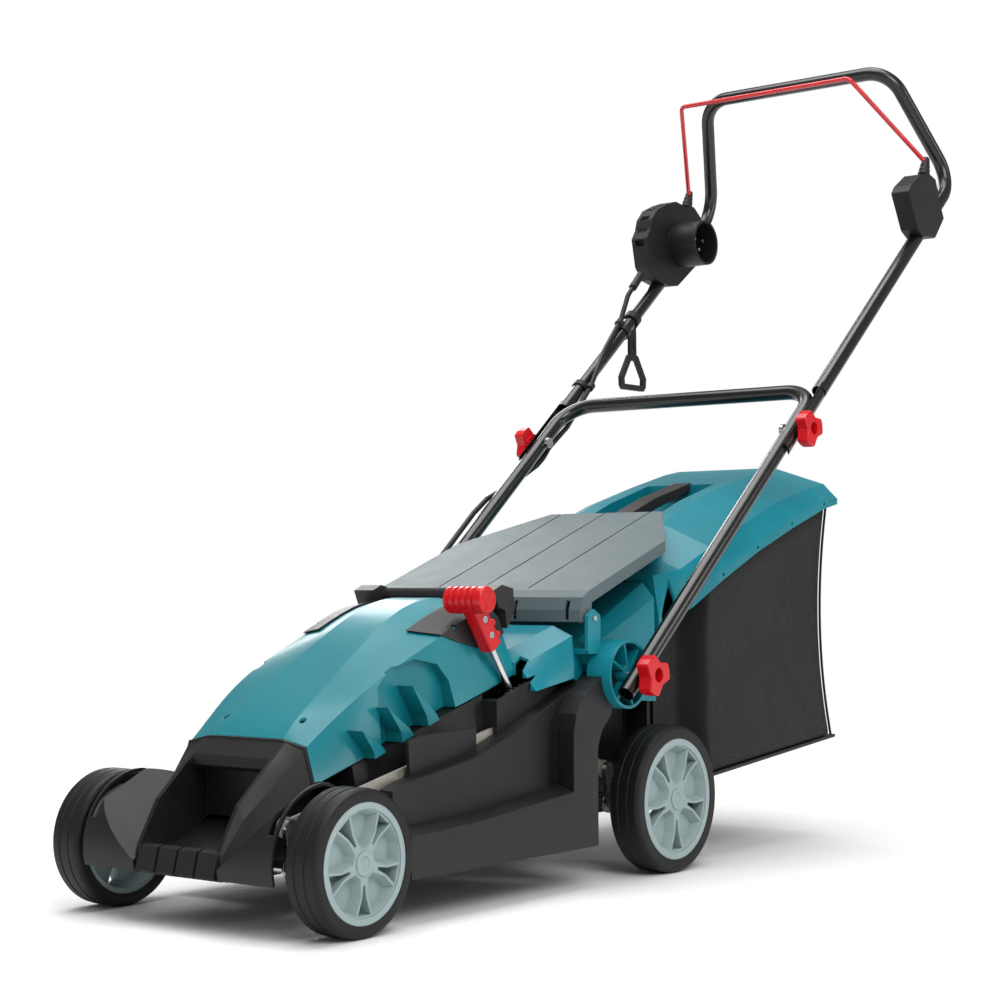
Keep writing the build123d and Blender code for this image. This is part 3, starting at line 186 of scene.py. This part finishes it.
TEAL = moulded("teal_plastic", (0.004, 0.185, 0.225), 0.34, grain=0.12, coat=0.15, edge=0.3)
TEAL_DEEP = moulded("teal_plastic_deep", (0.001, 0.175, 0.225), 0.36, grain=0.14, coat=0.1, edge=0.3)
BLACK = moulded("black_plastic", (0.0065, 0.0065, 0.007), 0.46, grain=0.35, edge=0.35)
CHARCOAL = moulded("charcoal_plastic", (0.022, 0.020, 0.022), 0.40, grain=0.3, grain_scale=1200)
BROWN = moulded("brown_grip", (0.016, 0.012, 0.011), 0.42, grain=0.3, grain_scale=600)
FLAP_GREY = moulded("flap_grey", (0.085, 0.115, 0.122), 0.5, grain=0.3)
RIM_GREY = moulded("rim_grey", (0.27, 0.345, 0.345), 0.42, grain=0.15, edge=0.2)
TYRE = moulded("tyre_black", (0.006, 0.006, 0.006), 0.52, grain=0.5, grain_scale=500,
               rounding=0.0008, edge=0.15)
RED = moulded("red_plastic", (0.56, 0.002, 0.006), 0.26, grain=0.06, coat=0.25, edge=0.06)
RUBBER = moulded("black_rubber", (0.010, 0.010, 0.010), 0.4, grain=0.2, grain_scale=700, rounding=0.0005)
TUBE = metal("black_enamel_tube", (0.0035, 0.0035, 0.004), 0.26, brushed=0.03, metallic=0.0, coat=0.25)
RED_ROD = metal("red_coated_rod", (0.55, 0.003, 0.008), 0.2, brushed=0.03, metallic=0.0, coat=0.6)
STEEL = metal("zinc_steel", (0.62, 0.62, 0.63), 0.24, brushed=0.3)
PLATE = metal("passivated_plate", (0.52, 0.49, 0.43), 0.42, brushed=0.3, metallic=0.5)
BLADE = metal("blade_black", (0.03, 0.03, 0.032), 0.4, brushed=0.3, metallic=0.4)
ALUMINIUM = metal("cast_aluminium", (0.6, 0.6, 0.62), 0.4, brushed=0.5)
LAMINATE = metal("laminated_steel", (0.2, 0.19, 0.19), 0.45, brushed=0.8, streak=(0.1, 0.1, 8), metallic=0.8)
BRASS = metal("contact_metal", (0.75, 0.68, 0.5), 0.18, brushed=0.1)
WEAVE = woven("bag_weave", (0.0085, 0.0085, 0.009), 0.0011)

FINISHES = {
    TEAL: ["motor_hood"],
    TEAL_DEEP: ["rear_shroud", "handle_brackets", "box_lid"],
    BLACK: ["deck_shell", "front_nose", "lever_guide", "discharge_chute", "cooling_fan", "switch_box",
            "bail_housing", "cable_clips", "cable_hook", "box_frame"],
    CHARCOAL: ["carry_handle"],
    BROWN: ["box_grip"],
    FLAP_GREY: ["discharge_flap"],
    RIM_GREY: ["front_left_rim", "front_right_rim", "rear_left_rim", "rear_right_rim"],
    TYRE: ["front_left_tyre", "front_right_tyre", "rear_left_tyre", "rear_right_tyre"],
    RED: ["height_lever_grip", "lower_left_knob", "lower_right_knob", "upper_left_knob", "upper_right_knob",
          "lock_button"],
    RUBBER: ["cable_entry", "cable_lower", "cable_upper"],
    TUBE: ["lower_handle", "upper_handle"],
    RED_ROD: ["bail_rod"],
    STEEL: ["flap_hinge_pin", "lower_handle_bolts", "upper_handle_bolts", "motor_bearings", "motor_shaft",
            "blade_bolt", "front_crank_axle", "rear_crank_axle", "front_axle_washers", "rear_axle_washers",
            "height_lever_rod", "height_lever_screws"],
    PLATE: ["front_link", "rear_link"],
    BLADE: ["cutting_blade", "hood_screws"],
    ALUMINIUM: ["motor_lower_shield", "motor_upper_shield", "blade_carrier"],
    LAMINATE: ["motor_stator", "rotor_core"],
    BRASS: ["inlet_pins"],
    WEAVE: ["grass_bag"],
}
for finish, names in FINISHES.items():
    for name in names:
        slots = NODES[name].material_slots
        if not slots:
            NODES[name].data.materials.append(finish)
        for slot in slots:
            slot.material = finish


# ---------------------------------------------------------------- pieces
def new_piece(name, mesh, finish, body):
    piece = bpy.data.objects.new(name, mesh)
    bpy.context.scene.collection.objects.link(piece)
    mesh.materials.append(finish)
    for polygon in mesh.polygons:
        polygon.use_smooth = True
    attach(piece, body)
    return piece


def interpolate(rows, s):
    """Value at station s from (station, value) rows."""
    for (s0, v0), (s1, v1) in zip(rows, rows[1:]):
        if s <= s1:
            return v0 + (v1 - v0) * (s - s0) / (s1 - s0)
    return rows[-1][1]


# Grass bag: one sewn fabric shell that hangs from the lid flange and rests on the frame.
# Rows of (station behind the front axle, height) or (station, half width).
BAG_TOP = [(0.566, 0.270), (0.605, 0.297), (0.661, 0.329), (0.740, 0.363), (0.823, 0.393), (0.905, 0.420),
           (0.932, 0.427)]
BAG_BOTTOM = [(0.566, 0.1105), (0.643, 0.1035), (0.939, 0.1305)]
BAG_WIDTH = [(0.566, 0.127), (0.624, 0.128), (0.642, 0.156), (0.936, 0.157)]
BAG_MOUTH = 0.566
REAR_EDGE_LOW, REAR_EDGE_MIDDLE, REAR_EDGE_HIGH = 0.938, 0.912, 0.930
HOLLOW, SLACK, FOLDS = 0.0055, 0.0035, 0.0012
BELLY, BELLY_SLACK = 0.007, 0.004
SIDE_STEPS, HEIGHT_STEPS, REAR_STEPS = 56, 36, 44
CLOTH_THICKNESS = 0.0008
SEAM_RADIUS, SEAM_PROUD, SEAM_STEPS = 0.0016, 0.0006, 12


def rear_edge(v):
    """Station of the bag's rear edge at height fraction v, drawn in between lid and frame."""
    low = (1 - v) * (1 - 2 * v) * REAR_EDGE_LOW
    middle = 4 * v * (1 - v) * REAR_EDGE_MIDDLE
    high = v * (2 * v - 1) * REAR_EDGE_HIGH
    return low + middle + high


def bag_point(u, v, side):
    """Point of a side panel: u runs back from the mouth, v up from the frame."""
    s = BAG_MOUTH + (rear_edge(v) - BAG_MOUTH) * u
    low = interpolate(BAG_BOTTOM, s)
    high = interpolate(BAG_TOP, s)
    x = interpolate(BAG_WIDTH, s)
    hollow = math.sin(math.pi * min(1, v)) * math.sin(math.pi * u) ** 0.6
    slack = noise.noise(Vector((s * 9, v * 3.5, side * 3.1)))
    folds = noise.noise(Vector((s * 26 + v * 6, v * 5, side * 7.7)))
    x -= HOLLOW * hollow + SLACK * hollow * slack + FOLDS * hollow * folds
    return Vector((side * x, s + FRONT_AXLE_Y, low + (high - low) * v))


def rear_point(w, v):
    """Point of the rear panel: w runs from the right side to the left."""
    left, right = bag_point(1, v, 1), bag_point(1, v, -1)
    point = right.lerp(left, w)
    belly = math.sin(math.pi * w) * math.sin(math.pi * v)
    point.y += -BELLY * belly + BELLY_SLACK * belly * noise.noise(Vector((w * 5, v * 3, 4.2)))
    return point


def base_point(w, u):
    """Point of the base: w runs across it and u runs back from the mouth."""
    return bag_point(u, 0, -1).lerp(bag_point(u, 0, 1), w)


def add_panel(bm, rows, columns, point):
    """Grid of faces from a function of two fractions, across and along."""
    grid = [[bm.verts.new(point(i / columns, j / rows)) for i in range(columns + 1)]
            for j in range(rows + 1)]
    for j in range(rows):
        for i in range(columns):
            bm.faces.new((grid[j][i], grid[j][i + 1], grid[j + 1][i + 1], grid[j + 1][i]))


def build_bag():
    mesh = bpy.data.meshes.new("bag_cloth")
    bm = bmesh.new()
    add_panel(bm, HEIGHT_STEPS, SIDE_STEPS, lambda u, v: bag_point(u, v, 1))
    add_panel(bm, HEIGHT_STEPS, SIDE_STEPS, lambda u, v: bag_point(1 - u, v, -1))
    add_panel(bm, HEIGHT_STEPS, REAR_STEPS, lambda w, v: rear_point(1 - w, v))
    add_panel(bm, SIDE_STEPS, REAR_STEPS, base_point)
    bmesh.ops.remove_doubles(bm, verts=bm.verts, dist=0.0002)
    bmesh.ops.recalc_face_normals(bm, faces=bm.faces)
    bm.to_mesh(mesh)
    bm.free()
    cloth = new_piece("bag_cloth", mesh, WEAVE, "grass_box")
    thick = cloth.modifiers.new("cloth_thickness", "SOLIDIFY")
    thick.thickness = CLOTH_THICKNESS
    thick.offset = -1
    smooth = cloth.modifiers.new("cloth_smooth", "SUBSURF")
    smooth.levels = smooth.render_levels = 1
    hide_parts("grass_bag")


def curve_piece(name, points, radius, finish, body=None):
    """Round strip along a smooth line of points. With no body it becomes a mesh that can be blended."""
    curve = bpy.data.curves.new(name, "CURVE")
    curve.dimensions = "3D"
    curve.bevel_depth = radius
    curve.bevel_resolution = 4
    curve.resolution_u = 8
    spline = curve.splines.new("NURBS")
    spline.points.add(len(points) - 1)
    for target, point in zip(spline.points, points):
        target.co = (*point, 1)
    spline.order_u = 3
    spline.use_endpoint_u = True
    curve.use_fill_caps = True
    curve.materials.append(finish)
    piece = bpy.data.objects.new(name, curve)
    bpy.context.scene.collection.objects.link(piece)
    if body:
        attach(piece, body)
        return piece
    evaluated = piece.evaluated_get(bpy.context.evaluated_depsgraph_get())
    shape = bpy.data.meshes.new_from_object(evaluated)
    bpy.data.objects.remove(piece)
    piece = bpy.data.objects.new(name, shape)
    bpy.context.scene.collection.objects.link(piece)
    return piece


build_bag()
for side, label in ((1, "left"), (-1, "right")):
    outward = Vector((side * SEAM_PROUD, SEAM_PROUD, 0))
    seam = [bag_point(1, k / SEAM_STEPS, side) + outward for k in range(SEAM_STEPS + 1)]
    curve_piece(f"bag_seam_{label}", seam, SEAM_RADIUS, WEAVE, "grass_box")


# Motor cable: short limp lengths carry it over the two folding pivots of the handle. They are
# 0.1 mm thicker than the clipped lengths, whose ends they cover.
UPPER_PIVOT = (0.781, 0.5188)
HANDLE_RUN = 1.194
SLOPE = math.hypot(HANDLE_RUN, 1)
ALONG = (HANDLE_RUN / SLOPE, 1 / SLOPE)
CABLE_R = 0.0037


def on_handle(along, above, x):
    """Point by distance along the handle from its upper pivot, height above its line, and x."""
    u, v = ALONG
    station = UPPER_PIVOT[0] + along * u - above * v
    return Vector((x, FRONT_AXLE_Y + station, UPPER_PIVOT[1] + along * v + above * u))


def from_axle(x, s, z):
    """Point at station s behind the front axle."""
    return Vector((x, FRONT_AXLE_Y + s, z))


def cable_bridge(name, points):
    bridge = curve_piece(name, points, CABLE_R, RUBBER)
    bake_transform(bridge)


cable_bridge("cable_bridge_lower", [
    from_axle(-0.1740, 0.4408, 0.2727), from_axle(-0.1775, 0.443, 0.273),
    from_axle(-0.184, 0.4475, 0.2735), from_axle(-0.190, 0.4525, 0.2700),
    on_handle(-0.414, 0.0145, -0.193), on_handle(-0.408, 0.0145, -0.1931)])
cable_bridge("cable_bridge_upper", [
    on_handle(-0.029, -0.0172, -0.1962), on_handle(-0.025, -0.0178, -0.195),
    on_handle(-0.008, -0.0184, -0.1945), on_handle(0.004, -0.0180, -0.1962),
    on_handle(0.013, -0.0175, -0.197), on_handle(0.018, -0.0175, -0.1965)])


# Ribbed rubber boots over both ends of the bail rod, where it enters the switch box and the bail
# housing. The profile is rows of (distance along the boot, radius).
BOOT = [(0.0, 0.0036), (0.0, 0.0082), (0.004, 0.0084),
        (0.0055, 0.0072), (0.007, 0.0080), (0.011, 0.0074),
        (0.0125, 0.0062), (0.014, 0.0070), (0.018, 0.0064),
        (0.0195, 0.0052), (0.021, 0.0060), (0.027, 0.0050), (0.0285, 0.0036)]
BOOT_SIDES = 28
BOOT_X = 0.195
BOOT_BASE, BOOT_AIM = (1.1532, 0.894), (1.160, 0.914)


def build_boot(name, base, aim):
    axis = (aim - base).normalized()
    across = axis.orthogonal().normalized()
    other = axis.cross(across)
    mesh = bpy.data.meshes.new(name)
    bm = bmesh.new()
    rings = []
    for reach, radius in BOOT:
        ring = []
        for k in range(BOOT_SIDES):
            turn = 2 * math.pi * k / BOOT_SIDES
            offset = across * math.cos(turn) + other * math.sin(turn)
            ring.append(bm.verts.new(base + axis * reach + offset * radius))
        rings.append(ring)
    for lower, upper in zip(rings, rings[1:]):
        for k in range(BOOT_SIDES):
            following = (k + 1) % BOOT_SIDES
            bm.faces.new((lower[k], lower[following], upper[following], upper[k]))
    bmesh.ops.recalc_face_normals(bm, faces=bm.faces)
    bm.to_mesh(mesh)
    bm.free()
    boot = new_piece(name, mesh, RUBBER, "bail")


for side, label in ((1, "left"), (-1, "right")):
    base, aim = from_axle(side * BOOT_X, *BOOT_BASE), from_axle(side * BOOT_X, *BOOT_AIM)
    build_boot(f"bail_boot_{label}", base, aim)


# ---------------------------------------------------------------- floor, light and camera
def area_light(name, location, target, size, power):
    data = bpy.data.lights.new(name, "AREA")
    data.shape = "RECTANGLE"
    data.size, data.size_y = size
    data.energy = power
    lamp = bpy.data.objects.new(name, data)
    lamp.location = location
    lamp.rotation_euler = (Vector(target) - Vector(location)).to_track_quat("-Z", "Y").to_euler()
    bpy.context.scene.collection.objects.link(lamp)


# A pale floor that fades into the white backdrop between two distances from the middle.
FLOOR = 40.0
FADE_NEAR, FADE_FAR = 0.9, 1.9
corners = [(-FLOOR, -FLOOR, 0), (FLOOR, -FLOOR, 0), (FLOOR, FLOOR, 0), (-FLOOR, FLOOR, 0)]
floor_mesh = bpy.data.meshes.new("floor")
floor_mesh.from_pydata(corners, [], [(0, 1, 2, 3)])
floor = bpy.data.objects.new("floor", floor_mesh)
bpy.context.scene.collection.objects.link(floor)
paper = Graph("pale_floor")
paper.put(paper.shader.inputs["Base Color"],
          paper.ramp(paper.noise(2, 2), (0.86, 0.86, 0.87, 1), (0.9, 0.9, 0.9, 1)))
paper.shader.inputs["Roughness"].default_value = 0.9
glow = paper.node("ShaderNodeEmission")
reach = paper.node("ShaderNodeVectorMath", {0: paper.coords}, operation="LENGTH").outputs["Value"]
fade = paper.node("ShaderNodeMapRange", {"Value": reach, "From Min": FADE_NEAR, "From Max": FADE_FAR},
                  interpolation_type="SMOOTHSTEP").outputs["Result"]
blend = paper.node("ShaderNodeMixShader", {0: fade, 1: paper.shader.outputs["BSDF"],
                                           2: glow.outputs["Emission"]})
paper.put(paper.tree.nodes["Material Output"].inputs["Surface"], blend.outputs["Shader"])
floor_mesh.materials.append(paper.material)

# The backdrop looks white to the camera and sheds less light than that on the mower.
SEEN, SHED = 1.0, 0.30
world = bpy.data.worlds.new("studio")
bpy.context.scene.world = world
world.use_nodes = True
backdrop = world.node_tree.nodes["Background"]
backdrop.inputs["Color"].default_value = (1, 1, 1, 1)
path = world.node_tree.nodes.new("ShaderNodeLightPath")
strength = world.node_tree.nodes.new("ShaderNodeMapRange")
strength.inputs["To Min"].default_value = SHED
strength.inputs["To Max"].default_value = SEEN
world.node_tree.links.new(path.outputs["Is Camera Ray"], strength.inputs["Value"])
world.node_tree.links.new(strength.outputs["Result"], backdrop.inputs["Strength"])

area_light("key", (2.4, -1.6, 2.4), (0, 0, 0.3), (1.8, 1.8), 62)
area_light("top", (-0.2, -0.2, 3.2), (0, 0, 0.3), (2.6, 2.6), 95)
area_light("rim_back", (-2.4, 1.8, 2.0), (0, 0.3, 0.5), (0.8, 2.0), 30)
area_light("side_strip", (3.0, 1.4, 1.2), (0, 0.3, 0.4), (0.5, 2.4), 20)

# Camera: low in front of the mower's left side. Its place is given from the front axle.
CAMERA_X, CAMERA_STATION, CAMERA_Z = 1.4327, -1.4081, 0.3324
FOCAL_MM, SENSOR_MM, FARTHEST = 72.4, 36, 50
AZIMUTH, PITCH, ROLL = math.radians(37.795), math.radians(2.298), math.radians(-0.187)
forward = Vector((-math.sin(AZIMUTH) * math.cos(PITCH), math.cos(AZIMUTH) * math.cos(PITCH),
                  math.sin(PITCH)))
level = Vector((math.cos(AZIMUTH), math.sin(AZIMUTH), 0))
rise = level.cross(forward)
right = level * math.cos(ROLL) + rise * math.sin(ROLL)
upward = rise * math.cos(ROLL) - level * math.sin(ROLL)
lens = bpy.data.cameras.new("camera")
lens.lens = FOCAL_MM
lens.sensor_width = SENSOR_MM
lens.clip_end = FARTHEST
camera = bpy.data.objects.new("camera", lens)
place = Matrix.Translation((CAMERA_X, CAMERA_STATION + FRONT_AXLE_Y, CAMERA_Z))
camera.matrix_world = place @ Matrix((right, upward, -forward)).transposed().to_4x4()
bpy.context.scene.collection.objects.link(camera)
bpy.context.scene.camera = camera
bpy.context.scene.view_settings.view_transform = "Standard"
